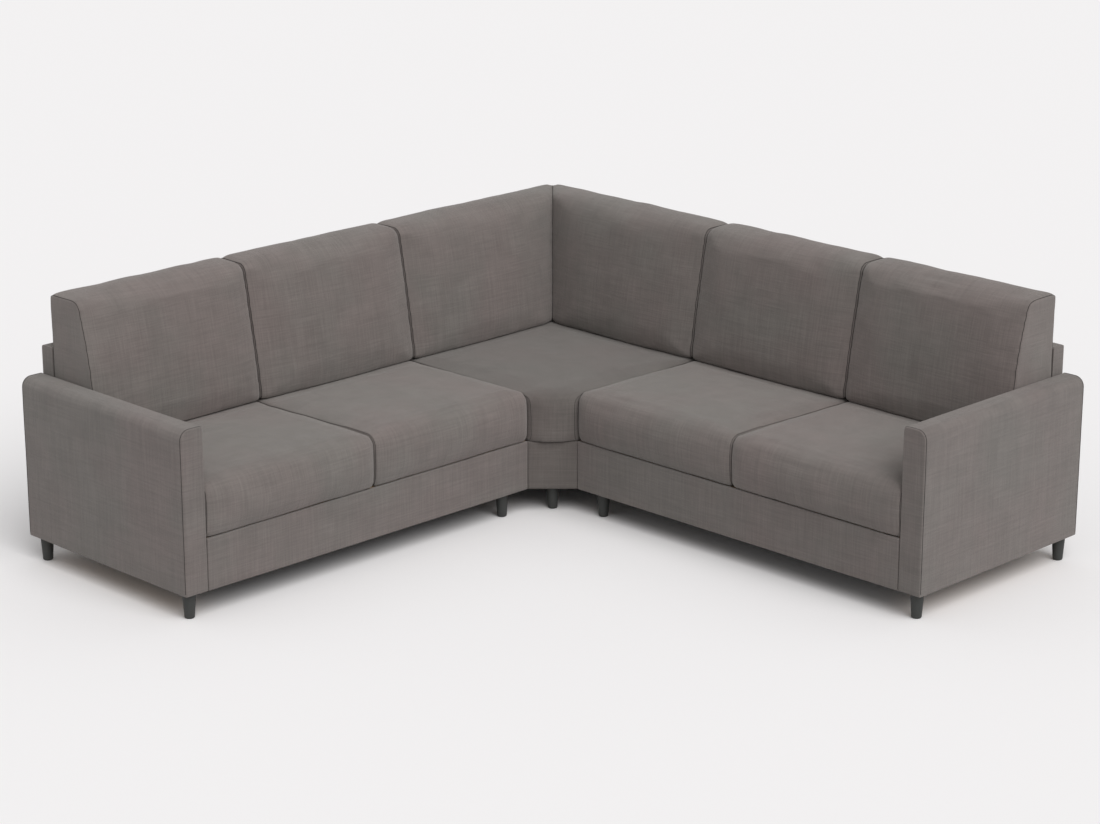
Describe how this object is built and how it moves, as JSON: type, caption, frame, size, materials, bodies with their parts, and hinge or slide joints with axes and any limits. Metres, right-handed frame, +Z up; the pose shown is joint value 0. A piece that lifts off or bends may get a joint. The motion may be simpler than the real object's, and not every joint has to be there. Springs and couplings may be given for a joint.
{
  "type": "corner sofa",
  "caption": "L-shaped corner sofa with loose box seat cushions, leaning back cushions, slim upholstered arms, a plain apron and short tapered feet.",
  "frame": {"origin": "on the floor, under the middle of the outline", "axes": "+Z up; the back corner is at -X +Y; the right wing runs along +X with its back towards +Y, the left wing along -Y with its back towards -X"},
  "size_m": [2.455, 2.455, 0.9116],
  "materials": {
    "cushion_fabric": "matte finely woven taupe grey",
    "cover_fabric": "matte finely woven taupe grey",
    "dust_cloth": "thin black non-woven cloth",
    "elastic_webbing": "dark elastic webbing",
    "leg_lacquer": "dark satin lacquer",
    "zinc_steel": "zinc plated",
    "frame_timber": "planed softwood"
  },
  "bodies": {
    "frame": {"right_front_rail": "frame_timber", "right_rear_rail": "frame_timber", "right_end_rails": "frame_timber", "right_centre_rail": "frame_timber", "right_leg_blocks": "frame_timber", "right_legs": "leg_lacquer", "right_seat_webbing": "elastic_webbing", "right_base_cover": "cover_fabric", "right_dust_sheet": "dust_cloth", "right_arm_frame": "frame_timber", "right_arm_cover": "cover_fabric", "right_arm_bolts": "zinc_steel", "right_back_boards": "frame_timber", "right_back_posts": "frame_timber", "right_back_cover": "cover_fabric", "right_joining_plates": "zinc_steel", "left_front_rail": "frame_timber", "left_rear_rail": "frame_timber", "left_end_rails": "frame_timber", "left_centre_rail": "frame_timber", "left_leg_blocks": "frame_timber", "left_legs": "leg_lacquer", "left_seat_webbing": "elastic_webbing", "left_base_cover": "cover_fabric", "left_dust_sheet": "dust_cloth", "left_arm_frame": "frame_timber", "left_arm_cover": "cover_fabric", "left_arm_bolts": "zinc_steel", "left_back_boards": "frame_timber", "left_back_posts": "frame_timber", "left_back_cover": "cover_fabric", "left_joining_plates": "zinc_steel", "corner_rear_rails": "frame_timber", "corner_side_rails": "frame_timber", "corner_front_rail": "frame_timber", "corner_leg_blocks": "frame_timber", "corner_legs": "leg_lacquer", "corner_seat_webbing": "elastic_webbing", "corner_base_cover": "cover_fabric", "corner_dust_sheet": "dust_cloth", "corner_right_back_boards": "frame_timber", "corner_right_back_posts": "frame_timber", "corner_right_back_cover": "cover_fabric", "corner_left_back_boards": "frame_timber", "corner_left_back_posts": "frame_timber", "corner_left_back_cover": "cover_fabric"},
    "left_outer_seat": {"left_outer_seat_cushion": "cushion_fabric"},
    "left_outer_back": {"left_outer_back_cushion": "cushion_fabric"},
    "left_inner_seat": {"left_inner_seat_cushion": "cushion_fabric"},
    "left_inner_back": {"left_inner_back_cushion": "cushion_fabric"},
    "right_outer_seat": {"right_outer_seat_cushion": "cushion_fabric"},
    "right_outer_back": {"right_outer_back_cushion": "cushion_fabric"},
    "right_inner_seat": {"right_inner_seat_cushion": "cushion_fabric"},
    "right_inner_back": {"right_inner_back_cushion": "cushion_fabric"},
    "corner_seat": {"corner_seat_cushion": "cushion_fabric"},
    "corner_left_back": {"corner_left_back_cushion": "cushion_fabric"},
    "corner_right_back": {"corner_right_back_cushion": "cushion_fabric"}
  },
  "joints": [
    {"name": "left_outer_seat_lift", "type": "slide", "parent": "frame", "child": "left_outer_seat", "axis": [0, 0, 1], "range_m": [0, 0.25]},
    {"name": "left_outer_back_lift", "type": "slide", "parent": "left_outer_seat", "child": "left_outer_back", "axis": [0, 0, 1], "range_m": [0, 0.3]},
    {"name": "left_inner_seat_lift", "type": "slide", "parent": "frame", "child": "left_inner_seat", "axis": [0, 0, 1], "range_m": [0, 0.25]},
    {"name": "left_inner_back_lift", "type": "slide", "parent": "left_inner_seat", "child": "left_inner_back", "axis": [0, 0, 1], "range_m": [0, 0.3]},
    {"name": "right_outer_seat_lift", "type": "slide", "parent": "frame", "child": "right_outer_seat", "axis": [0, 0, 1], "range_m": [0, 0.25]},
    {"name": "right_outer_back_lift", "type": "slide", "parent": "right_outer_seat", "child": "right_outer_back", "axis": [0, 0, 1], "range_m": [0, 0.3]},
    {"name": "right_inner_seat_lift", "type": "slide", "parent": "frame", "child": "right_inner_seat", "axis": [0, 0, 1], "range_m": [0, 0.25]},
    {"name": "right_inner_back_lift", "type": "slide", "parent": "right_inner_seat", "child": "right_inner_back", "axis": [0, 0, 1], "range_m": [0, 0.3]},
    {"name": "corner_seat_lift", "type": "slide", "parent": "frame", "child": "corner_seat", "axis": [0, 0, 1], "range_m": [0, 0.25]},
    {"name": "corner_left_back_lift", "type": "slide", "parent": "corner_seat", "child": "corner_left_back", "axis": [0, 0, 1], "range_m": [0, 0.3]},
    {"name": "corner_right_back_lift", "type": "slide", "parent": "corner_seat", "child": "corner_right_back", "axis": [0, 0, 1], "range_m": [0, 0.3]}
  ]
}
